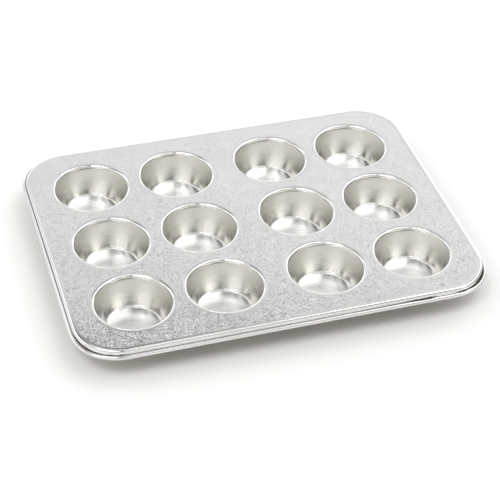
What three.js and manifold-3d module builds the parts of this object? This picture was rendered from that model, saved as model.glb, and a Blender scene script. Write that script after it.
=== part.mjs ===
// Mini muffin pan: a tinplate deck, twelve drawn cups locked under it, and a rim rolled round a wire.
// Millimetres, Z up. The origin is on the table, under the middle of the pan.
import * as THREE from "three";
import { mergeVertices } from "three/addons/utils/BufferGeometryUtils.js";
import Module from "manifold-3d";

// Sheet thicknesses, and the working clearance between two pieces that meet.
const DECK_SHEET = 0.4;
const CUP_SHEET = 0.4;
const CLEARANCE = 0.3;

// Layout of the cups: flat deck left between mouths, across the middle, and out to the rim.
const COLUMNS = 4;
const ROWS = 3;
const CUP_LAND = 7.5;
const MIDDLE_LAND = 15;
const EDGE_LAND = 13.8;
const CORNER_RADIUS = 27;

// Mouth of a cup: the deck bends down into it, then turns back under itself as a flange.
const MOUTH_RADIUS = 23.4;
const MOUTH_BEND = 1.6;
const MOUTH_TURN = 0.8;
const DECK_FLANGE = 2;

// Cup: a tapered wall, a ledge and a step round a flat floor.
const CUP_DEPTH = 19.2;
const FLOOR_RADIUS = 16.4;
const LEDGE_WIDTH = 0.7;
const LEDGE_HEIGHT = 0.5;
const LIP_SETBACK = 0.2;
const LIP_BEND = 0.8;
const HOOK_LAP = 1.2;

// Rim: a bend, a short wall, and a curl that closes round the wire.
const RIM_BEND = 1.7;
const RIM_WALL = 2.4;
const CURL_BORE = 0.9;
const GROOVE_WIDTH = 0.6;

// Flat sides used for the round forms.
const CUP_SIDES = 20;
const CORNER_SIDES = 6;
const BEND_SIDES = 2;
const TURN_SIDES = 1;
const RIM_SIDES = 3;
const CURL_SIDES = 6;
const WIRE_SIDES = 8;

// Sheet shared between two forms where they are joined into one piece.
const JOIN_LAP = 1.5;

// Worked out from the sizes above.
const DECK_TOP = CUP_SHEET + CUP_DEPTH;
const HOLE_RADIUS = MOUTH_RADIUS + MOUTH_BEND;
const CUP_PITCH = 2 * HOLE_RADIUS + CUP_LAND;
const MIDDLE_EXTRA = MIDDLE_LAND - CUP_LAND;
const CREASE_X = ((COLUMNS - 1) * CUP_PITCH + MIDDLE_EXTRA) / 2 + HOLE_RADIUS + EDGE_LAND;
const CREASE_Y = ((ROWS - 1) * CUP_PITCH) / 2 + HOLE_RADIUS + EDGE_LAND;
const WIRE_OUT = RIM_BEND + CURL_BORE;
const WIRE_DROP = RIM_BEND + RIM_WALL;
const WIRE_RADIUS = CURL_BORE - CLEARANCE;
const FULL_TURN = 2 * Math.PI;
const HALF_TURN = Math.PI;
const QUARTER_TURN = Math.PI / 2;
const CURL_RADIUS = CURL_BORE + DECK_SHEET;
const CURL_TURN = FULL_TURN - Math.acos((CURL_BORE - GROOVE_WIDTH) / CURL_RADIUS);

const wasm = await Module();
wasm.setup();

const tinplate = new THREE.MeshStandardMaterial({ color: 0xc9cccd, roughness: 0.38, metalness: 1 });
const drawnTinplate = new THREE.MeshStandardMaterial({ color: 0xd3d1c8, roughness: 0.2, metalness: 1 });
const steelWire = new THREE.MeshStandardMaterial({ color: 0x8c8e8f, roughness: 0.45, metalness: 1 });

// Points along a circular arc, both ends included.
function arc(x, y, radius, from, to, sides) {
  return Array.from({ length: sides + 1 }, (_, i) => {
    const angle = from + ((to - from) * i) / sides;
    return new THREE.Vector2(x + radius * Math.cos(angle), y + radius * Math.sin(angle));
  });
}

const at = (x, y) => new THREE.Vector2(x, y);

// A rounded rectangle on the crease of the rim, run clockwise from the middle of the back.
// A gap leaves the run open there by that much.
class RimPath extends THREE.Curve {
  constructor(gap) {
    super();
    this.stations = [{ x: gap / 2, y: CREASE_Y, angle: QUARTER_TURN }];
    for (let corner = 0; corner < 4; corner += 1) {
      const first = QUARTER_TURN * (1 - corner);
      const middle = first - QUARTER_TURN / 2;
      const x = Math.sign(Math.cos(middle)) * (CREASE_X - CORNER_RADIUS);
      const y = Math.sign(Math.sin(middle)) * (CREASE_Y - CORNER_RADIUS);
      arc(x, y, CORNER_RADIUS, first, first - QUARTER_TURN, CORNER_SIDES).forEach((point, i) => {
        const angle = first - (QUARTER_TURN * i) / CORNER_SIDES;
        this.stations.push({ x: point.x, y: point.y, angle });
      });
    }
    this.stations.push({ x: -gap / 2, y: CREASE_Y, angle: QUARTER_TURN });
  }

  getSpacedPoints() {
    return this.stations.map(({ x, y }) => new THREE.Vector3(x, y, DECK_TOP));
  }

  // The section's x points out of the pan and its y points up.
  computeFrenetFrames() {
    const outward = ({ angle }) => new THREE.Vector3(Math.cos(angle), Math.sin(angle), 0);
    const normals = this.stations.map(outward);
    const binormals = this.stations.map(() => new THREE.Vector3(0, 0, 1));
    return { normals, binormals };
  }
}

// A section carried along a rim path, with its ends capped.
function sweep(outline, path) {
  const settings = { steps: path.stations.length - 1, extrudePath: path };
  return new THREE.ExtrudeGeometry(new THREE.Shape(outline), settings);
}

// A section carried right round the rim, so that its two ends meet: only the sides are kept.
function sweepRound(outline) {
  const capped = sweep(outline, new RimPath(0));
  const sides = capped.groups[1];
  const all = capped.getAttribute("position").array;
  const points = all.slice(3 * sides.start, 3 * (sides.start + sides.count));
  return new THREE.BufferGeometry().setAttribute("position", new THREE.BufferAttribute(points, 3));
}

// A section turned about the upright axis of a cup. Its points are (radius, height).
function revolve(outline) {
  return new THREE.LatheGeometry(outline, CUP_SIDES).rotateX(QUARTER_TURN);
}

function solid(geometry) {
  const bare = new THREE.BufferGeometry().setAttribute("position", geometry.getAttribute("position"));
  bare.setIndex(geometry.index);
  const merged = mergeVertices(bare);
  const vertProperties = merged.getAttribute("position").array;
  const triVerts = new Uint32Array(merged.index.array);
  return new wasm.Manifold(new wasm.Mesh({ numProp: 3, vertProperties, triVerts }));
}

function geometryOf(body) {
  const { vertProperties, triVerts } = body.getMesh();
  const geometry = new THREE.BufferGeometry();
  geometry.setAttribute("position", new THREE.BufferAttribute(vertProperties, 3));
  geometry.setIndex(new THREE.BufferAttribute(triVerts, 1));
  geometry.computeVertexNormals();
  return geometry;
}

function piece(name, geometry, material) {
  const mesh = new THREE.Mesh(geometry, material);
  mesh.name = name;
  return mesh;
}

// Centres of the cups, row 1 at the front and column 1 at the left.
// The columns stand in two blocks, set apart by the wider land across the middle.
function cupCentres() {
  const centres = [];
  for (let row = 0; row < ROWS; row += 1) {
    for (let column = 0; column < COLUMNS; column += 1) {
      const across = column - (COLUMNS - 1) / 2;
      const x = across * CUP_PITCH + (Math.sign(across) * MIDDLE_EXTRA) / 2;
      const y = (row - (ROWS - 1) / 2) * CUP_PITCH;
      centres.push({ name: `cup_r${row + 1}c${column + 1}`, x, y });
    }
  }
  return centres;
}

// The flat sheet, with a round hole for each mouth. It stops a lap short of the rim's bend.
function flatDeck(centres) {
  const x = CREASE_X - CORNER_RADIUS;
  const y = CREASE_Y - CORNER_RADIUS;
  const radius = CORNER_RADIUS - JOIN_LAP / 2;
  const outline = [];
  [[x, y], [-x, y], [-x, -y], [x, -y]].forEach(([cx, cy], corner) => {
    const from = corner * QUARTER_TURN;
    outline.push(...arc(cx, cy, radius, from, from + QUARTER_TURN, CORNER_SIDES));
  });
  const sheet = new THREE.Shape(outline);
  const holeRadius = HOLE_RADIUS + JOIN_LAP / 2;
  sheet.holes = centres.map((cup) => {
    const ring = arc(cup.x, cup.y, holeRadius, 0, FULL_TURN, CUP_SIDES);
    return new THREE.Path(ring.slice(1));
  });
  const flat = new THREE.ExtrudeGeometry(sheet, { depth: DECK_SHEET, bevelEnabled: false });
  return flat.translate(0, 0, DECK_TOP - DECK_SHEET);
}

// The mouth: the deck's edge bent down, then turned outward underneath as a flange.
function mouthCollar() {
  const bendZ = DECK_TOP - MOUTH_BEND;
  const flangeZ = bendZ - MOUTH_TURN;
  const turnRadius = MOUTH_RADIUS + MOUTH_TURN;
  const flangeRadius = turnRadius + DECK_FLANGE;
  const outerRadius = HOLE_RADIUS + JOIN_LAP;
  const outline = [
    at(outerRadius, DECK_TOP),
    ...arc(HOLE_RADIUS, bendZ, MOUTH_BEND, QUARTER_TURN, HALF_TURN, BEND_SIDES),
    ...arc(turnRadius, bendZ, MOUTH_TURN, HALF_TURN, HALF_TURN + QUARTER_TURN, TURN_SIDES).slice(1),
    at(flangeRadius, flangeZ),
    at(flangeRadius, flangeZ + DECK_SHEET),
    ...arc(turnRadius, bendZ, MOUTH_TURN - DECK_SHEET, HALF_TURN + QUARTER_TURN, HALF_TURN, TURN_SIDES),
    ...arc(HOLE_RADIUS, bendZ, MOUTH_BEND - DECK_SHEET, HALF_TURN, QUARTER_TURN, BEND_SIDES).slice(1),
    at(outerRadius, DECK_TOP - DECK_SHEET),
  ];
  return revolve([...outline, outline[0].clone()]);
}

// The rim: a bend, a wall, and a curl round the wire that stops short of the wall and leaves a groove.
function rolledRim() {
  const curlEnd = HALF_TURN + CURL_TURN;
  const innerBend = RIM_BEND - DECK_SHEET;
  const outline = [
    at(-JOIN_LAP, 0),
    ...arc(0, -RIM_BEND, RIM_BEND, QUARTER_TURN, 0, RIM_SIDES),
    ...arc(WIRE_OUT, -WIRE_DROP, CURL_BORE, HALF_TURN, curlEnd, CURL_SIDES),
    ...arc(WIRE_OUT, -WIRE_DROP, CURL_RADIUS, curlEnd, HALF_TURN, CURL_SIDES),
    ...arc(0, -RIM_BEND, innerBend, 0, QUARTER_TURN, RIM_SIDES),
    at(-JOIN_LAP, -DECK_SHEET),
  ];
  return sweepRound(outline);
}

function deck(centres) {
  const collar = solid(mouthCollar());
  const collars = centres.map((cup) => collar.translate([cup.x, cup.y, 0]));
  const whole = wasm.Manifold.union([solid(flatDeck(centres)), solid(rolledRim()), ...collars]);
  return piece("deck", geometryOf(whole.asOriginal().simplify()), tinplate);
}

// The wire inside the curl, a bent rod whose ends butt at the middle of the back.
function rimWire() {
  const section = arc(WIRE_OUT, -WIRE_DROP, WIRE_RADIUS, 0, FULL_TURN, WIRE_SIDES).slice(1);
  return piece("rim_wire", sweep(section, new RimPath(CLEARANCE)), steelWire);
}

// A drawn cup. Its lip runs out under the deck's flange, turns up past the flange's edge,
// and hooks back over it, so that deck and cup are locked together.
function drawnCup() {
  const flangeZ = DECK_TOP - MOUTH_BEND - MOUTH_TURN;
  const lipTop = flangeZ - CLEARANCE;
  const lipUnder = lipTop - CUP_SHEET;
  const hookUnder = flangeZ + DECK_SHEET + CLEARANCE;
  const hookTop = hookUnder + CUP_SHEET;
  const upstandIn = MOUTH_RADIUS + MOUTH_TURN + DECK_FLANGE + CLEARANCE;
  const upstandOut = upstandIn + CUP_SHEET;
  const hookIn = upstandIn - HOOK_LAP;
  const wallTop = MOUTH_RADIUS + LIP_SETBACK;
  const ledgeZ = CUP_SHEET + LEDGE_HEIGHT;
  const wallFoot = FLOOR_RADIUS + LEDGE_WIDTH;
  const taper = Math.atan2(wallTop - wallFoot, lipTop - LIP_BEND - ledgeZ);
  const wallThrough = CUP_SHEET / Math.cos(taper);
  const outline = [
    at(0, 0),
    at(FLOOR_RADIUS + CUP_SHEET, 0),
    at(FLOOR_RADIUS + CUP_SHEET, LEDGE_HEIGHT),
    at(wallFoot + wallThrough, LEDGE_HEIGHT),
    at(wallTop + wallThrough, lipUnder - LIP_BEND + CUP_SHEET),
    at(wallTop + LIP_BEND, lipUnder),
    at(upstandOut, lipUnder),
    at(upstandOut, hookTop),
    at(hookIn, hookTop),
    at(hookIn, hookUnder),
    at(upstandIn, hookUnder),
    at(upstandIn, lipTop),
    at(wallTop + LIP_BEND, lipTop),
    at(wallTop, lipTop - LIP_BEND),
    at(wallFoot, ledgeZ),
    at(FLOOR_RADIUS, ledgeZ),
    at(FLOOR_RADIUS, CUP_SHEET),
    at(0, CUP_SHEET),
  ];
  return revolve(outline);
}

const centres = cupCentres();
const cupGeometry = drawnCup();
const pan = new THREE.Group();
pan.name = "mini_muffin_pan";
pan.add(deck(centres), rimWire());
centres.forEach((cup) => {
  const mesh = piece(cup.name, cupGeometry, drawnTinplate);
  mesh.position.set(cup.x, cup.y, 0);
  pan.add(mesh);
});

export default pan;
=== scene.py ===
"""Mini muffin pan of tinplate: a deck with a wired rim, and drawn cups locked under it."""
import math

import bmesh
import bpy
import numpy as np
from mathutils import Matrix, Vector


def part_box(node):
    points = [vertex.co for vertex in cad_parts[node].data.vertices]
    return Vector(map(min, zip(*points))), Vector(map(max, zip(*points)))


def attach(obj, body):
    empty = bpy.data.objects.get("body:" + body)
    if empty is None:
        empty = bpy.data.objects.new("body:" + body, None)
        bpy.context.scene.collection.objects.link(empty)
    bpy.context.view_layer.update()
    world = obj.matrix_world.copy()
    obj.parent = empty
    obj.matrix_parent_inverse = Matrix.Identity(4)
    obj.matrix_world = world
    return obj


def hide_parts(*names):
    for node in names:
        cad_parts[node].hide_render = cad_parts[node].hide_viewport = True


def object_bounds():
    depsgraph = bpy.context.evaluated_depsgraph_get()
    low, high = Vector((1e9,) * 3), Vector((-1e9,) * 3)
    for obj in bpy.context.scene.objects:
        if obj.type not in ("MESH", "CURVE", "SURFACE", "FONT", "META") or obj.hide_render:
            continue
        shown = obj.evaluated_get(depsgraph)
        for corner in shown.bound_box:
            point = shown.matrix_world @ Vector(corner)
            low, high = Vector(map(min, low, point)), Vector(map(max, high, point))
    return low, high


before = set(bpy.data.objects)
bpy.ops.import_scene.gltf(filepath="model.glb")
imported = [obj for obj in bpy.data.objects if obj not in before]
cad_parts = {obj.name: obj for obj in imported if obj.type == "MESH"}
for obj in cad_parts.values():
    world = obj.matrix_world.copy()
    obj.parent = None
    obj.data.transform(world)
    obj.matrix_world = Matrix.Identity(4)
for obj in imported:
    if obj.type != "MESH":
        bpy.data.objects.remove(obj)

bl_info = {
    "name": "Mini Muffin Pan",
    "version": (1, 0, 0),
    "blender": (4, 5, 0),
    "location": "View3D > Sidebar > Muffin Pan",
    "description": "Tinplate deck, drawn cups and wired rim of a mini muffin pan",
    "category": "Add Mesh",
}

MM = 0.001
CAD_BOX = [[float(v) for v in corner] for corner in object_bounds()]
DECK_BOX = [np.array(corner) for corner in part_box("deck")]
DECK_TOP = float(DECK_BOX[1][2])
CUP_NODES = sorted(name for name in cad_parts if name.startswith("cup_"))
CUP_BOXES = {name: [np.array(corner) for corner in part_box(name)] for name in CUP_NODES}
CUP_CENTRES = {name: ((low + high) / 2)[:2] for name, (low, high) in CUP_BOXES.items()}
LIP_REACH = max(float(high[0] - low[0]) / 2 for low, high in CUP_BOXES.values())
TABLE_TOP = CAD_BOX[0][2]
TABLE_REACH = 3.0


def length(name, description, default):
    """A size in metres, shown in the user's own units."""
    return bpy.props.FloatProperty(name=name, description=description, default=default,
                                   unit="LENGTH", subtype="DISTANCE", precision=5)


def colour(name, description, default):
    """A linear colour without alpha."""
    return bpy.props.FloatVectorProperty(name=name, description=description, default=default,
                                         subtype="COLOR", size=3, min=0, max=1)


def angle(name, description, degrees):
    """An angle, given in degrees and kept in radians."""
    return bpy.props.FloatProperty(name=name, description=description, default=math.radians(degrees),
                                   unit="ROTATION", subtype="ANGLE")


def fraction(name, description, default):
    """A plain number from 0 to 1."""
    return bpy.props.FloatProperty(name=name, description=description, default=default, min=0, max=1)


class PanSizes(bpy.types.PropertyGroup):
    """Sizes of the sheet-metal work."""
    sheet: length("Sheet", "Thickness of the tinplate", 0.4 * MM)
    seam_gap: length("Seam gap", "Gap between two sheets that meet", 0.3 * MM)
    corner_radius: length("Corner radius", "Radius of the deck's corners, at the crease of the rim", 27 * MM)
    mouth_bend: length("Mouth bend", "Radius with which the deck bends down into a mouth", 1.6 * MM)
    mouth_turn: length("Mouth turn", "Radius with which the bent deck turns back underneath", 0.8 * MM)
    deck_flange: length("Deck flange", "Width of the deck's turned flange", 2 * MM)
    shoulder_radius: length("Shoulder radius", "Radius of the shallow shoulder round a mouth", 6 * MM)
    shoulder_slope: angle("Shoulder slope", "Slope at which the shoulder meets the bend", 8)
    floor_radius: length("Floor radius", "Radius of a cup's flat floor", 16.4 * MM)
    floor_crown: length("Floor crown", "How far the middle of a floor stands above its edge", 0.1 * MM)
    ledge_width: length("Ledge width", "Width of the ledge round the floor", 0.8 * MM)
    foot_bend: length("Foot bend", "Radius with which the ledge bends up into a cup's wall", 0.7 * MM)
    ledge_height: length("Ledge height", "Height of the ledge above the floor", 0.5 * MM)
    lip_setback: length("Lip setback", "How far a cup's wall stands behind its mouth", 0.2 * MM)
    lip_bend: length("Lip bend", "Radius at the top of a cup's wall", 0.8 * MM)
    hook_lap: length("Hook lap", "How far a cup's lip hooks back over the deck's flange", 1.2 * MM)
    rim_apron: length("Rim apron", "Width of the strip inside the crease that the rim is rolled from", 2 * MM)
    burnish: length("Burnish", "How far the press has rubbed the flat beside a bend", 0.7 * MM)
    rim_bend: length("Rim bend", "Radius with which the deck's edge bends down", 1.7 * MM)
    rim_wall: length("Rim wall", "Height of the straight wall under that bend", 2.4 * MM)
    curl_bore: length("Curl bore", "Inner radius of the rolled curl", 0.9 * MM)
    groove_width: length("Groove width", "Opening between the rim's wall and the curl's edge", 0.12 * MM)
    corner_spring: length("Corner spring", "How far the curl springs outward at a corner", 0.8 * MM)
    corner_open: angle("Corner opening", "How far the curl opens at a corner", 30)
    front_open: angle("Front opening", "How far the curl has sprung open at the front's right end", 50)


class PanFinish(bpy.types.PropertyGroup):
    """Colours and grain of the metals, and the colour of the table."""
    deck_colour: colour("Deck", "Reflection colour of the deck's satin tinplate", (0.80, 0.80, 0.795))
    wall_colour: colour("Cup walls", "Reflection colour of the drawn walls", (0.77, 0.765, 0.735))
    floor_colour: colour("Cup floors", "Reflection colour of the bright floors", (0.95, 0.95, 0.94))
    deck_roughness: fraction("Deck roughness", "How satin the deck is", 0.12)
    wall_roughness: fraction("Wall roughness", "How satin the drawn walls of the cups are near the floor", 0.13)
    mouth_roughness: fraction("Mouth roughness", "How satin those walls are near the mouth", 0.37)
    floor_roughness: fraction("Floor roughness", "How satin the floors of the cups are", 0.22)
    crystal_size: length("Crystal size", "Width of the crystals in the deck's tin", 0.55 * MM)
    crystal_tilt: angle("Crystal tilt", "Tilt of the steepest crystals", 4.2)
    wave_depth: length("Wave depth", "Depth of the deck's slow waves", 0.02 * MM)
    # Painted shade: the underside and the cups' outsides are made darker to deepen the shadow under the pan
    underside_shade_colour: colour("Underside", "Reflection colour of the shade-darkened underside", (0.4, 0.36, 0.28))
    # Painted shade: the wire's very dark brown stands in for the shade inside the curl's gaps
    wire_shade_colour: colour("Wire", "Reflection colour of the rim's wire", (0.22, 0.18, 0.12))
    table_colour: colour("Table", "Colour of the table", (0.95, 0.95, 0.95))


class StudioSettings(bpy.types.PropertyGroup):
    """Where the camera stands and how much it takes in."""
    azimuth: angle("Camera azimuth", "Camera's turn from the front, to the right", -18.58)
    elevation: angle("Camera elevation", "Camera's slope above the horizon", 40.23)
    roll: angle("Camera roll", "Camera's turn about its own line of sight", 2.34)
    distance: length("Camera distance", "From the camera to the point it looks at", 967.8 * MM)
    aim_x: length("Aim, right", "Point of the deck that the camera looks at", -8.2 * MM)
    aim_y: length("Aim, back", "Point of the deck that the camera looks at", -29.7 * MM)
    view_angle: angle("View angle", "Angle across the picture", 18.37)


class Term:
    """A shader socket that takes part in Python arithmetic: each operation adds a Math node."""

    def __init__(self, shader, socket):
        self.shader = shader
        self.socket = socket

    def _math(self, operation, *terms):
        return self.shader.add("ShaderNodeMath", {"operation": operation}, dict(enumerate(terms)))

    def __add__(self, other):
        return self._math("ADD", self, other)

    def __sub__(self, other):
        return self._math("SUBTRACT", self, other)

    def __rsub__(self, other):
        return self._math("SUBTRACT", other, self)

    def __mul__(self, other):
        return self._math("MULTIPLY", self, other)

    __radd__ = __add__
    __rmul__ = __mul__


class Shader:
    """A node tree that is written as expressions."""

    def __init__(self, tree):
        self.tree = tree
        tree.nodes.clear()

    def add(self, kind, settings=None, inputs=None, output=0):
        """Adds a node: its settings first, then the values or terms of its sockets. Gives one output."""
        node = self.tree.nodes.new(kind)
        for key, value in (settings or {}).items():
            setattr(node, key, value)
        for key, value in (inputs or {}).items():
            if isinstance(value, Term):
                self.tree.links.new(value.socket, node.inputs[key])
            else:
                node.inputs[key].default_value = value
        return Term(self, node.outputs[output]) if node.outputs else None

    def mark(self, name, output="Fac"):
        """What the piece itself carries under that name at each of its points."""
        return self.add("ShaderNodeAttribute", {"attribute_name": name}, output=output)

    def place(self):
        """Where a point of the pan is, in metres."""
        return self.add("ShaderNodeTexCoord", output="Object")

    def noise(self, where, scale, detail=2.0, roughness=0.5):
        """Soft noise from 0 to 1, with features about 1 / scale metres wide."""
        inputs = {"Vector": where, "Scale": scale, "Detail": detail, "Roughness": roughness}
        return self.add("ShaderNodeTexNoise", {}, inputs)

    def vector(self, operation, *terms, output=0):
        """A vector operation on terms or plain vectors."""
        return self.add("ShaderNodeVectorMath", {"operation": operation}, dict(enumerate(terms)), output)

    def crystals(self, where, scale):
        """Height, in metres, of flat crystals about 1 / scale metres wide, each tilted its own way: its tilt
        times the way from its middle. A tilt is the cube of a random number from -1 to 1, so that most
        crystals lie nearly level and a few are steep."""
        cell = {"Vector": where, "Scale": scale}
        tilt = self.add("ShaderNodeTexVoronoi", {}, cell, output="Color")
        tilt = self.vector("MULTIPLY_ADD", tilt, (2.0, 2.0, 2.0), (-1.0, -1.0, -1.0))
        tilt = self.vector("MULTIPLY", tilt, self.vector("MULTIPLY", tilt, tilt))
        middle = self.add("ShaderNodeTexVoronoi", {}, cell, output="Position")
        return self.vector("DOT_PRODUCT", tilt, self.vector("SUBTRACT", where, middle), output="Value")

    def between(self, value, low, high):
        """Smooth step: 0 below low and 1 above high."""
        inputs = {"Value": value, "From Min": low, "From Max": high}
        return self.add("ShaderNodeMapRange", {"interpolation_type": "SMOOTHSTEP"}, inputs)

    def mix(self, share, first, second):
        """A colour that goes from first to second as share goes from 0 to 1."""
        return self.add("ShaderNodeMix", {"data_type": "RGBA"}, {0: share, 6: first, 7: second}, output=2)


def rgba(values, gain=1.0):
    """A colour socket's value, made lighter or darker by gain."""
    return tuple(v * gain for v in values) + (1.0,)


def metal(name, write):
    """The metal called name: write(shader) gives the terms of its base colour, its roughness and the height
    of its relief, and the metres that one unit of that height stands for."""
    material = bpy.data.materials.new(name)
    material.use_nodes = True
    shader = Shader(material.node_tree)
    base, roughness, height, depth = write(shader)
    normal = shader.add("ShaderNodeBump", {}, {"Strength": 1.0, "Distance": depth, "Height": height})
    inputs = {"Base Color": base, "Metallic": 1.0, "Roughness": roughness, "Normal": normal}
    surface = shader.add("ShaderNodeBsdfPrincipled", {}, inputs)
    shader.add("ShaderNodeOutputMaterial", {}, {"Surface": surface})
    return material


# Features in a metre of each pattern in the metals
DECK_CLOUDS = 35.0
DECK_WAVES = 160.0
CUP_CLOUDS = 60.0
CUP_GRAIN = 900.0
DRAW_MARKS = 260.0
WIRE_STAINS = 220.0
# Roughness where the press has rubbed the deck, and how far the clouds change it elsewhere
BURNISHED = 0.1
CLOUD_ROUGHNESS = 0.1


def deck_tinplate(finish):
    """Satin tinplate: tilted crystals and cloudy tin, burnished where the press has bent it, and painted
    with a darker colour underneath, as painted shade under the pan."""
    def write(s):
        place = s.place()
        flat = 1.0 - s.mark("worked")
        cloud = s.noise(place, DECK_CLOUDS, 3.0, 0.55)
        wave = s.noise(place, DECK_WAVES)
        fleck = s.noise(place, 1 / finish.crystal_size, 0.0)
        tone = 0.5 + (cloud - 0.5) * 0.6 + flat * (fleck - 0.5) * 0.5
        base = s.mix(tone, rgba(finish.deck_colour, 0.88), rgba(finish.deck_colour, 1.12))
        # Painted shade: the sheet's underside takes the darker underside colour
        base = s.mix(s.mark("under"), base, rgba(finish.underside_shade_colour))
        roughness = finish.deck_roughness - BURNISHED + (cloud - 0.5) * CLOUD_ROUGHNESS
        roughness = BURNISHED + flat * roughness
        grain = s.crystals(place, 1 / finish.crystal_size) * (math.tan(finish.crystal_tilt) / MM)
        height = flat * (grain + (wave - 0.5) * (finish.wave_depth / MM))
        return base, roughness, height, MM
    return metal("deck_tinplate", write)


def cup_tinplate(finish):
    """Bright drawn tinplate: faint draw marks that run up the wall, and cloudy tin. It is satin near the
    mouth, bright towards the floor, and painted darker outside, as painted shade under the deck."""
    def write(s):
        place = s.place()
        drawn, stretched = s.mark("drawn", "Vector"), s.mark("stretched")
        marks = s.noise(drawn, DRAW_MARKS, 3.0, 0.6)
        grain = s.noise(place, CUP_GRAIN)
        cloud = s.noise(place, CUP_CLOUDS)
        wall = s.mix(cloud, rgba(finish.wall_colour, 0.96), rgba(finish.wall_colour, 1.04))
        foot, mouth = s.between(stretched, 0.0, 1.0), s.between(stretched, 1.0, 1.9)
        base = s.mix(foot, rgba(finish.floor_colour), wall)
        # Painted shade: the cups' outsides take the darker underside colour
        base = s.mix(s.mark("under"), base, rgba(finish.underside_shade_colour))
        roughness = finish.floor_roughness + foot * (finish.wall_roughness - finish.floor_roughness)
        roughness = roughness + mouth * (finish.mouth_roughness - finish.wall_roughness) + cloud * 0.03
        return base, roughness, (marks * 0.7 + grain * 0.3) * foot, 0.001 * MM
    return metal("cup_tinplate", write)


def wire_steel(finish):
    """Drawn wire, painted very dark brown as the shade inside the curl, with darker stains."""
    def write(s):
        place = s.place()
        stain = s.noise(place, WIRE_STAINS, 3.0, 0.6)
        # Painted shade: the dark brown base stands for the shade in the curl; the stains vary it at random
        base = s.mix(stain, rgba(finish.wire_shade_colour, 0.7), rgba(finish.wire_shade_colour, 1.1))
        return base, 0.4 + stain * 0.2, stain, 0.02 * MM
    return metal("rim_wire", write)


# In metres: points this close along a section are one, and so are corners this close in a mesh
SAME_POINT = 1e-8
SAME_CORNER = 1e-7


def arc(x, y, radius, start, end, count=9):
    """Points at even angles on a circle about (x, y), from start to end in degrees."""
    turn = np.radians(np.linspace(start, end, count))
    return np.column_stack((x + radius * np.cos(turn), y + radius * np.sin(turn)))


def straight(first, last, longest=2.5 * MM, hold=0.1 * MM):
    """Points along a straight, with one close to each end so that its shading stays flat between."""
    first, last = np.array(first), np.array(last)
    span = np.linalg.norm(last - first)
    share = np.linspace(0.0, 1.0, max(math.ceil(span / longest), 1) + 1)
    if span > 3 * hold:
        share = np.sort(np.append(share, (hold / span, 1 - hold / span)))
    return first + share[:, None] * (last - first)


def joined(*runs):
    """One run of points from several, without the doubles where two of them meet."""
    points = np.vstack(runs)
    step = np.linalg.norm(np.diff(points, axis=0), axis=1)
    return points[np.append(True, step > SAME_POINT)]


def rounded(corners):
    """A section through corners (x, y, radius): straights, with an arc of that radius at each corner.
    The arc's centre lies on the corner's bisector, radius / sin(half angle) from it."""
    spots = np.array([corner[:2] for corner in corners], dtype=float)
    runs, leave = [], spots[0]
    for before, spot, after, (_, _, radius) in zip(spots, spots[1:], spots[2:], corners[1:-1]):
        u = (before - spot) / np.linalg.norm(before - spot)
        v = (after - spot) / np.linalg.norm(after - spot)
        half = math.acos(float(np.clip(u @ v, -1, 1))) / 2
        reach = radius / math.tan(half)
        centre = spot + (u + v) / np.linalg.norm(u + v) * radius / math.sin(half)
        first, last = spot + u * reach - centre, spot + v * reach - centre
        start = math.degrees(math.atan2(first[1], first[0]))
        sweep = math.degrees(math.atan2(last[1], last[0])) - start
        sweep = (sweep + 180) % 360 - 180
        runs += [straight(leave, spot + u * reach), arc(*centre, radius, start, start + sweep, 8)]
        leave = spot + v * reach
    return joined(*runs, straight(leave, spots[-1]))


def grid_faces(rows, columns):
    """Corner numbers of the quads of a grid, its last column joined to its first."""
    number = np.arange(rows * columns).reshape(rows, columns)
    number = np.column_stack((number, number[:, 0]))
    corners = (number[:-1, :-1], number[:-1, 1:], number[1:, 1:], number[1:, :-1])
    return np.stack([corner.ravel() for corner in corners], axis=1)


def sheet_object(name, grids, material, layers):
    """A smooth closed piece from grids of points: doubles are merged and faces turned outward.
    Each grid is an array (rows, columns, 3) that wraps in its columns; layers hold one value a point."""
    points = np.concatenate([grid.reshape(-1, 3) for grid in grids])
    starts = np.cumsum([0] + [grid.shape[0] * grid.shape[1] for grid in grids[:-1]])
    faces = np.concatenate([grid_faces(*grid.shape[:2]) + start for grid, start in zip(grids, starts)])
    mesh = bpy.data.meshes.new(name)
    mesh.from_pydata(points.tolist(), [], faces.tolist())
    for layer, values in layers.items():
        kind, field = ("FLOAT", "value") if values.ndim == 1 else ("FLOAT_VECTOR", "vector")
        mesh.attributes.new(layer, kind, "POINT").data.foreach_set(field, values.astype(np.float32).ravel())
    work = bmesh.new()
    work.from_mesh(mesh)
    bmesh.ops.remove_doubles(work, verts=work.verts, dist=SAME_CORNER)
    bmesh.ops.recalc_face_normals(work, faces=work.faces)
    if any(not edge.is_manifold for edge in work.edges):
        raise RuntimeError(f"{name} is not closed")
    work.to_mesh(mesh)
    work.free()
    mesh.polygons.foreach_set("use_smooth", np.ones(len(mesh.polygons), dtype=bool))
    mesh.materials.append(material)
    piece = bpy.data.objects.new(name, mesh)
    bpy.context.scene.collection.objects.link(piece)
    return piece


def stand_for(piece, node):
    """Puts a piece on the frame in its node's stead."""
    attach(piece, "root")
    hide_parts(node)


def mouth_radius(sizes):
    """Radius of a mouth: what the lip's reach leaves inside the flange, the seam and the hook."""
    return LIP_REACH - sizes.mouth_turn - sizes.deck_flange - sizes.seam_gap - sizes.sheet


def crease(sizes):
    """Half sizes of the rounded rectangle where the deck bends down into its rim."""
    reach = sizes.rim_bend + 2 * sizes.curl_bore + sizes.sheet
    return (DECK_BOX[1] - DECK_BOX[0])[:2] / 2 - reach


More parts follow.
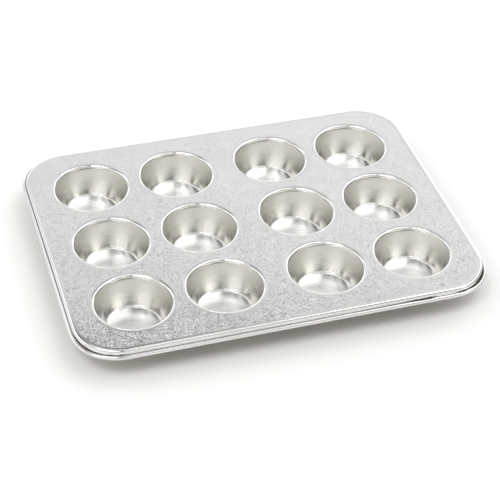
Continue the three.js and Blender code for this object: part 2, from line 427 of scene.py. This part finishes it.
def mouth_section(sizes):
    """Section of a mouth as (radius, height over the deck): a shallow shoulder, the bend, the turn and the
    flange, and back along the underside of the sheet. The shoulder is an arc that starts level and ends
    at the shoulder's slope, where the bend takes over."""
    thick, slope = sizes.sheet, math.degrees(sizes.shoulder_slope)
    inner = mouth_radius(sizes)
    hole, turn = inner + sizes.mouth_bend, inner + sizes.mouth_turn
    flange = turn + sizes.deck_flange
    low = -sizes.mouth_bend - sizes.mouth_turn
    spare = sizes.shoulder_radius - sizes.mouth_bend
    drop = spare * (1 - math.cos(sizes.shoulder_slope))
    start = hole + spare * math.sin(sizes.shoulder_slope)
    outer = start + 2 * sizes.burnish
    bend = arc(0, 0, 1, 90 + slope, 180, 12) * (sizes.mouth_bend, sizes.mouth_bend - drop)
    top = joined(
        straight((outer, 0), (start, 0), 0.2 * MM),
        arc(start, -sizes.shoulder_radius, sizes.shoulder_radius, 90, 90 + slope, 8),
        bend + (hole, -sizes.mouth_bend),
        arc(turn, -sizes.mouth_bend, sizes.mouth_turn, 180, 270, 8),
        straight((turn, low), (flange, low)),
    )
    under = joined(
        straight((flange, low + thick), (turn, low + thick)),
        arc(turn, -sizes.mouth_bend, sizes.mouth_turn - thick, 270, 180, 6),
        arc(hole, -sizes.mouth_bend, sizes.mouth_bend - thick, 180, 90, 8),
        straight((hole, -thick), (outer, -thick)),
    )
    return np.vstack((top, under))


# Points on each side of a cell, and its rings on the flat, as shares of the way in to the mouth
SIDE_POINTS = 24
FLAT_SHARES = np.array((0.0, 0.012, 0.15, 0.4, 0.7, 0.92, 0.988))


def cell_edges(sizes):
    """Lines that part the deck into one cell for each cup, across and from front to back."""
    half = crease(sizes) - sizes.rim_apron
    edges = []
    for axis in (0, 1):
        places = np.unique(np.round([centre[axis] for centre in CUP_CENTRES.values()], 6))
        edges.append(np.concatenate(([-half[axis]], (places[:-1] + places[1:]) / 2, [half[axis]])))
    return edges


def on_rim(points, sizes):
    """Moves points of the square-cornered outline onto the rounded one, along the corner's own radii."""
    radius = sizes.corner_radius - sizes.rim_apron
    core = crease(sizes) - sizes.corner_radius
    pull = np.clip(points, -core, core)
    out = points - pull
    corner = np.all(np.abs(out) > SAME_POINT, axis=1)
    out[corner] *= radius / np.linalg.norm(out[corner], axis=1)[:, None]
    return pull + out


def between_edges(first, last):
    """Even places from first up to last, without last."""
    return np.linspace(first, last, SIDE_POINTS + 1)[:-1]


def box_outline(x0, x1, y0, y1):
    """Points round a rectangle, anticlockwise from its front right corner, the same number on each side."""
    full = np.ones(SIDE_POINTS)
    sides = (
        (x1 * full, between_edges(y0, y1)),
        (np.linspace(x1, x0, SIDE_POINTS + 1)[:-1], y1 * full),
        (x0 * full, np.linspace(y1, y0, SIDE_POINTS + 1)[:-1]),
        (between_edges(x0, x1), y0 * full),
    )
    return np.concatenate([np.column_stack(side) for side in sides])


def deck_cells(sizes):
    """The deck round each mouth: rings that go from the cell's outline in to the mouth, down its section,
    and back out under the sheet. A ring's point is outline + share * (circle - outline)."""
    columns, rows = cell_edges(sizes)
    section = mouth_section(sizes)
    turn = np.radians(-45 + 360 * np.arange(4 * SIDE_POINTS) / (4 * SIDE_POINTS))
    ring = np.column_stack((np.cos(turn), np.sin(turn)))
    grids, worked, under = [], [], []
    bent = np.clip((section[0, 0] - section[:, 0]) / sizes.burnish, 0, 1)
    for centre in CUP_CENTRES.values():
        i, j = np.searchsorted(columns, centre[0]) - 1, np.searchsorted(rows, centre[1]) - 1
        outline = on_rim(box_outline(columns[i], columns[i + 1], rows[j], rows[j + 1]), sizes)
        circle = centre + ring * section[0, 0]
        flat = outline + FLAT_SHARES[:, None, None] * (circle - outline)
        mouth = centre + ring * section[:, 0, None, None]
        plan = np.concatenate((flat, mouth, flat[::-1]))
        none = np.zeros(len(flat))
        height = np.concatenate((none, section[:, 1], none - sizes.sheet)) + DECK_TOP
        grids.append(np.dstack((plan, np.broadcast_to(height[:, None], plan.shape[:2]))))
        worked.append(np.repeat(np.concatenate((none, bent, none)), len(ring)))
        below = np.arange(len(height)) > len(flat) + np.argmin(section[:, 1])
        under.append(np.repeat(below, len(ring)))
    return grids, worked, under


def rim_stations(sizes):
    """Where the rim's section stands: points round the crease, the way out of the pan, and how much of
    a corner each one has, from 0 on a straight to 1 in the middle of a corner."""
    columns, rows = cell_edges(sizes)
    across = np.concatenate([between_edges(a, b) for a, b in zip(columns, columns[1:])])
    along = np.concatenate([between_edges(a, b) for a, b in zip(rows, rows[1:])])
    half = crease(sizes) - sizes.rim_apron
    front = np.column_stack((across, np.full(len(across), -half[1])))
    right = np.column_stack((np.full(len(along), half[0]), along))
    square = np.concatenate((front, right, -front, -right))
    points = on_rim(square, sizes)
    core = crease(sizes) - sizes.corner_radius
    out = (points - np.clip(points, -core, core)) / (sizes.corner_radius - sizes.rim_apron)
    corner = (2 * np.abs(out[:, 0] * out[:, 1])) ** 2
    return points + out * sizes.rim_apron, out, corner


# Places along the front, in millimetres right of its middle, and how far the curl is open there
SPRUNG_PLACES = (30, 72, 80, 86, 90, 104, 107, 111)
SPRUNG_SHARES = (0, 0.2, 1, 1, 0, 0, 0.9, 0)


def sprung(points):
    """How far the curl has sprung open at each station of the front: slowly more towards the right end,
    pinched shut before the corner, and open again in a short notch where the corner starts."""
    share = np.interp(points[:, 0] / MM, SPRUNG_PLACES, SPRUNG_SHARES)
    return share * (points[:, 1] < 0)


# Points along the apron, the wall and the curl of the rim's section
APRON_POINTS = 11
WALL_POINTS = 6
CURL_POINTS = 33


def rim_section(sizes, points, corner):
    """Section of the rim as (outward, height) for every station: bend, wall, curl, and back along the
    sheet's other face. The curl springs outward and opens at a corner, and opens where the front is
    sprung."""
    thick, bore = sizes.sheet, sizes.curl_bore
    low = -sizes.rim_bend - sizes.rim_wall
    outer = bore + thick
    closed = 360 - math.degrees(math.acos((bore - sizes.groove_width) / outer))
    spring = sizes.corner_spring * corner[:, None]
    opened = np.degrees(np.maximum(sizes.corner_open * corner, sizes.front_open * sprung(points)))
    turn = np.radians(180 + np.linspace(0, 1, CURL_POINTS) * (closed - opened[:, None]))
    middle = sizes.rim_bend + bore + spring

    def curl(radius, way):
        """Circle of that radius about the wire, run one way or the other."""
        return np.dstack((middle + radius * np.cos(turn[:, ::way]), low + radius * np.sin(turn[:, ::way])))

    def wall(x, top, way):
        """Straight from the bend down to the curl, leaning out with the spring."""
        share = np.linspace(0, 1, WALL_POINTS)[1:-1][::way]
        height = np.broadcast_to(top + share * (low - top), (len(corner), len(share)))
        return np.dstack((x + share * spring, height))

    def bend(radius, height, way):
        """The apron and the bend, the same at every station."""
        level = np.full(APRON_POINTS, height)
        apron = np.column_stack((np.linspace(-sizes.rim_apron, 0, APRON_POINTS), level))
        run = joined(apron, arc(0, -sizes.rim_bend, radius, 90, 0, 12))[::way]
        return np.broadcast_to(run, (len(corner), *run.shape))

    inner = sizes.rim_bend - thick
    return np.concatenate((
        bend(sizes.rim_bend, 0, 1), wall(sizes.rim_bend, -sizes.rim_bend, 1), curl(bore, 1),
        curl(outer, -1), wall(inner, -sizes.rim_bend, -1), bend(inner, -thick, -1),
    ), axis=1)


def swept(points, out, section):
    """A section carried along stations: point + out * outward, at height over the deck.
    Rows follow the section and columns the stations."""
    plan = points[:, None] + out[:, None] * section[:, :, :1]
    return np.dstack((plan, section[:, :, 1:] + DECK_TOP)).swapaxes(0, 1)


def make_deck(sizes, finish):
    """The deck, from its flat and mouths to the rolled rim, as one closed sheet."""
    grids, worked, under = deck_cells(sizes)
    points, out, corner = rim_stations(sizes)
    section = rim_section(sizes, points, corner)
    rim = swept(points, out, section)
    bent = np.clip((section[:, :, 0].T + sizes.rim_apron) / sizes.burnish, 0, 1)
    layers = {
        "worked": np.concatenate((*worked, bent.ravel())),
        "under": np.concatenate((*under, np.zeros(bent.size))),
    }
    piece = sheet_object("deck_sheet", [*grids, rim], deck_tinplate(finish), layers)
    stand_for(piece, "deck")


WIRE_STEPS = 16


def make_wire(sizes, finish):
    """The wire in the curl: a circle carried round the rim, from one butt end to the other."""
    points, out, corner = rim_stations(sizes)
    first = int(np.argmin(np.abs(points[:, 0]) + (points[:, 1] < 0)))
    order = np.append(np.roll(np.arange(len(points)), -first), first)
    points, out, corner = points[order], out[order], corner[order]
    points[0, 0] -= sizes.seam_gap / 2
    points[-1, 0] += sizes.seam_gap / 2
    radius = np.full(len(points), sizes.curl_bore - sizes.seam_gap)
    ends = [0, *range(len(points)), len(points) - 1]
    points, out, corner, radius = points[ends], out[ends], corner[ends], radius[ends]
    radius[[0, -1]] = 0
    turn = np.linspace(0, 2 * np.pi, WIRE_STEPS + 1)[:-1]
    middle = sizes.rim_bend + sizes.curl_bore + sizes.corner_spring * corner
    section = np.dstack((
        middle[:, None] + radius[:, None] * np.cos(turn),
        -sizes.rim_bend - sizes.rim_wall + radius[:, None] * np.sin(turn),
    ))
    grid = swept(points, out, section).swapaxes(0, 1)
    piece = sheet_object("rim_wire_rod", [grid], wire_steel(finish), {})
    stand_for(piece, "rim_wire")


def cup_section(sizes):
    """Section of a cup as (radius, height over the table), from the middle of its floor up the inside,
    round the hooked lip and down the outside to the middle of its foot."""
    thick, gap = sizes.sheet, sizes.seam_gap
    mouth = mouth_radius(sizes)
    flange = DECK_TOP - sizes.mouth_bend - sizes.mouth_turn
    lip, hook = flange - gap, flange + thick + gap
    upstand = mouth + sizes.mouth_turn + sizes.deck_flange + gap
    foot, step = sizes.floor_radius + sizes.ledge_width, sizes.ledge_height
    top = mouth + sizes.lip_setback
    slope = (top - foot) / (lip - sizes.lip_bend - thick - step)
    wall = thick * math.hypot(1, slope)
    edge, tight, soft = 0.1 * MM, 0.25 * MM, 0.4 * MM
    flat = sizes.floor_radius - soft
    share = np.linspace(0, 1, 14)
    dish = np.column_stack((share * flat, sizes.floor_crown * (1 - share ** 2) - min(sizes.floor_crown, 0)))
    rise = dish[-1, 1]
    path = rounded((
        (*dish[-1] + (0, thick), 0),
        (sizes.floor_radius, thick + rise, tight / 2),
        (sizes.floor_radius, thick + step, tight / 2),
        (foot, thick + step, sizes.foot_bend),
        (top + sizes.lip_bend * slope, lip, sizes.lip_bend),
        (upstand, lip, tight),
        (upstand, hook, tight),
        (upstand - sizes.hook_lap, hook, edge),
        (upstand - sizes.hook_lap, hook + thick, edge),
        (upstand + thick, hook + thick, soft),
        (upstand + thick, lip - thick, soft),
        (top + (sizes.lip_bend - thick) * slope + wall, lip - thick, soft),
        (foot + wall, step, sizes.foot_bend + thick),
        (sizes.floor_radius + thick, step, edge),
        (sizes.floor_radius + thick, rise, edge),
        (*dish[-1], 0),
    ))
    return joined(dish + (0, thick), path, dish[::-1]) + (0, TABLE_TOP)


CUP_STEPS = 128
# Draw marks are noise on a cylinder of this radius, drawn out by this share along the wall, and each cup
# takes its own length of it
MARK_RADIUS = 20 * MM
MARK_RUN = 0.1
MARK_LENGTH = 50 * MM


def make_cups(sizes, finish):
    """The drawn cups: one section turned about each cup's own upright axis."""
    section = cup_section(sizes)
    turn = np.linspace(0, 2 * np.pi, CUP_STEPS + 1)[:-1]
    ring = np.column_stack((np.cos(turn), np.sin(turn)))
    run = np.append(0, np.cumsum(np.linalg.norm(np.diff(section, axis=0), axis=1)))
    material = cup_tinplate(finish)
    for count, (node, centre) in enumerate(CUP_CENTRES.items()):
        plan = centre + ring * section[:, 0, None, None]
        height = np.broadcast_to(section[:, 1, None], plan.shape[:2])
        grid = np.dstack((plan, height))
        marks = np.dstack((
            np.broadcast_to(ring * MARK_RADIUS, plan.shape),
            np.broadcast_to(run[:, None] * MARK_RUN + count * MARK_LENGTH, plan.shape[:2]),
        ))
        foot = np.clip((section[:, 0] - sizes.floor_radius) / sizes.ledge_width, 0, 1)
        climb = np.clip((section[:, 1] - TABLE_TOP) / (DECK_TOP - TABLE_TOP), 0, 1)
        stretched = np.repeat(foot * (1 + climb), CUP_STEPS)
        under = np.repeat(np.arange(len(section)) > np.argmax(section[:, 0]), CUP_STEPS)
        layers = {"drawn": marks.reshape(-1, 3), "stretched": stretched, "under": under}
        piece = sheet_object(f"{node}_drawn", [grid], material, layers)
        stand_for(piece, node)


def aimed(place, target, roll):
    """The matrix that puts an object at place with its -Z towards target and its X level, then rolled."""
    turn = (Vector(target) - Vector(place)).to_track_quat("-Z", "Y").to_matrix().to_4x4()
    return Matrix.Translation(place) @ turn @ Matrix.Rotation(roll, 4, "Z")


def from_target(target, azimuth, elevation, distance):
    """A place at that distance from target, seen at that azimuth from the front and elevation."""
    level = distance * math.cos(elevation)
    offset = (level * math.sin(azimuth), -level * math.cos(azimuth), distance * math.sin(elevation))
    return tuple(np.add(target, offset))


# Each lamp: its edges in azimuth, from the back to the right, and in elevation, in degrees; its light
LAMPS = (
    ("back wall", -86, 66, -30, 43.4, (0.87, 0.87, 0.87)),
    ("back right glow", 16, 45, 40, 44, (0.12, 0.12, 0.12)),
    ("back horizon", -20, 60, -30, 23, (1.0, 1.0, 1.0)),
    ("back strip", -7, 54, 51, 60, (2.5, 2.5, 2.5)),
    ("front floor", 120, 280, -30, 7, (0.3, 0.26, 0.18)),
    ("front wall", 126, 278, 7, 38, (0.92, 0.9, 0.84)),
    ("front strip", 158, 184, 33, 41, (1.1, 1.1, 1.1)),
    ("left wall", 228, 344, 36, 46, (1.8, 1.8, 1.8)),
    ("left lamp", 193, 265, 55, 73, (5.2, 5.2, 5.2)),
    ("left back lamp", 292, 320, 61, 71, (1.2, 1.2, 1.2)),
    ("right lamp", 47, 130, 23, 70, (1.45, 1.45, 1.45)),
    ("right high lamp", 85, 177, 65, 82, (1.8, 1.8, 1.8)),
    ("ceiling", -20, 380, 62, 100, (0.25, 0.25, 0.25)),
)
# Half widths of a lamp's soft edges, in degrees
SOFT_AZIMUTH = 8.0
SOFT_ELEVATION = 1.0


def light_room(world):
    """The studio round the table, as a sum of lamps with soft edges. A lamp's light falls off as
    smooth steps of azimuth and elevation about its edges."""
    world.use_nodes = True
    sky = Shader(world.node_tree)
    way = sky.add("ShaderNodeTexCoord", output=0)
    right, back, up = (sky.add("ShaderNodeSeparateXYZ", {}, {0: way}, output=axis) for axis in range(3))
    elevation = sky.add("ShaderNodeMath", {"operation": "ARCSINE"}, {0: up}) * (180 / math.pi)
    glow = None
    for _, first, last, low, high, light in LAMPS:
        middle, half = math.radians((first + last) / 2), (last - first) / 2
        ahead = right * math.sin(middle) + back * math.cos(middle)
        aside = right * math.cos(middle) - back * math.sin(middle)
        turn = sky.add("ShaderNodeMath", {"operation": "ARCTAN2"}, {0: aside, 1: ahead}) * (180 / math.pi)
        turn = sky.add("ShaderNodeMath", {"operation": "ABSOLUTE"}, {0: turn})
        across = 1.0 - sky.between(turn, half - SOFT_AZIMUTH, half + SOFT_AZIMUTH)
        above = sky.between(elevation, low - SOFT_ELEVATION, low + SOFT_ELEVATION)
        below = 1.0 - sky.between(elevation, high - SOFT_ELEVATION, high + SOFT_ELEVATION)
        share = across * above * below
        lamp = sky.add("ShaderNodeVectorMath", {"operation": "SCALE"}, {0: light, "Scale": share})
        glow = lamp if glow is None else sky.vector("ADD", glow, lamp)
    light = sky.add("ShaderNodeBackground", {}, {"Color": glow, "Strength": 1.0})
    sky.add("ShaderNodeOutputWorld", {}, {"Surface": light})


def make_stage(studio, finish):
    """The table, the lamps round it, and the camera."""
    scene = bpy.context.scene
    mesh = bpy.data.meshes.new("table")
    corners = [(x * TABLE_REACH, y * TABLE_REACH, TABLE_TOP) for x, y in ((-1, -1), (1, -1), (1, 1), (-1, 1))]
    mesh.from_pydata(corners, [], [(0, 1, 2, 3)])
    material = bpy.data.materials.new("table_white")
    material.use_nodes = True
    shader = Shader(material.node_tree)
    surface = shader.add("ShaderNodeBsdfDiffuse", {}, {"Color": rgba(finish.table_colour)})
    shader.add("ShaderNodeOutputMaterial", {}, {"Surface": surface})
    mesh.materials.append(material)
    table = bpy.data.objects.new("table", mesh)
    scene.collection.objects.link(table)

    scene.world = bpy.data.worlds.new("studio")
    light_room(scene.world)

    camera = bpy.data.objects.new("camera", bpy.data.cameras.new("camera"))
    camera.data.sensor_fit = "HORIZONTAL"
    camera.data.angle = studio.view_angle
    camera.data.clip_start, camera.data.clip_end = 0.01, 20
    target = (studio.aim_x, studio.aim_y, DECK_TOP)
    place = from_target(target, studio.azimuth, studio.elevation, studio.distance)
    camera.matrix_world = aimed(place, target, studio.roll)
    scene.collection.objects.link(camera)
    scene.camera = camera
    scene.view_settings.view_transform = "Standard"


class MUFFIN_PAN_OT_deck(bpy.types.Operator):
    """Makes the deck with its mouths and its rolled rim"""
    bl_idname = "muffin_pan.deck"
    bl_label = "Deck"

    def execute(self, context):
        make_deck(context.scene.pan_sizes, context.scene.pan_finish)
        return {"FINISHED"}


class MUFFIN_PAN_OT_wire(bpy.types.Operator):
    """Makes the wire inside the rim"""
    bl_idname = "muffin_pan.wire"
    bl_label = "Rim wire"

    def execute(self, context):
        make_wire(context.scene.pan_sizes, context.scene.pan_finish)
        return {"FINISHED"}


class MUFFIN_PAN_OT_cups(bpy.types.Operator):
    """Makes the drawn cups"""
    bl_idname = "muffin_pan.cups"
    bl_label = "Cups"

    def execute(self, context):
        make_cups(context.scene.pan_sizes, context.scene.pan_finish)
        return {"FINISHED"}


class MUFFIN_PAN_OT_stage(bpy.types.Operator):
    """Sets the table, the lights and the camera"""
    bl_idname = "muffin_pan.stage"
    bl_label = "Stage"

    def execute(self, context):
        make_stage(context.scene.pan_studio, context.scene.pan_finish)
        return {"FINISHED"}


OPERATORS = (MUFFIN_PAN_OT_deck, MUFFIN_PAN_OT_wire, MUFFIN_PAN_OT_cups, MUFFIN_PAN_OT_stage)
GROUPS = {"pan_sizes": PanSizes, "pan_finish": PanFinish, "pan_studio": StudioSettings}


class MUFFIN_PAN_PT_panel(bpy.types.Panel):
    """Lists the pieces to make and the sizes and colours that they take"""
    bl_label = "Mini Muffin Pan"
    bl_idname = "MUFFIN_PAN_PT_panel"
    bl_space_type = "VIEW_3D"
    bl_region_type = "UI"
    bl_category = "Muffin Pan"

    def draw(self, context):
        for operator in OPERATORS:
            self.layout.operator(operator.bl_idname)
        for name, group in GROUPS.items():
            values = getattr(context.scene, name)
            for key in group.__annotations__:
                self.layout.prop(values, key)


CLASSES = (*GROUPS.values(), *OPERATORS, MUFFIN_PAN_PT_panel)


def register():
    """Makes the classes and the scene's settings known to Blender."""
    for cls in CLASSES:
        bpy.utils.register_class(cls)
    for name, group in GROUPS.items():
        setattr(bpy.types.Scene, name, bpy.props.PointerProperty(type=group))


def unregister():
    """Takes them out again."""
    for name in GROUPS:
        delattr(bpy.types.Scene, name)
    for cls in reversed(CLASSES):
        bpy.utils.unregister_class(cls)


def main():
    """Makes every piece and the stage."""
    register()
    bpy.ops.muffin_pan.deck()
    bpy.ops.muffin_pan.wire()
    bpy.ops.muffin_pan.cups()
    bpy.ops.muffin_pan.stage()


if __name__ == "__main__":
    main()
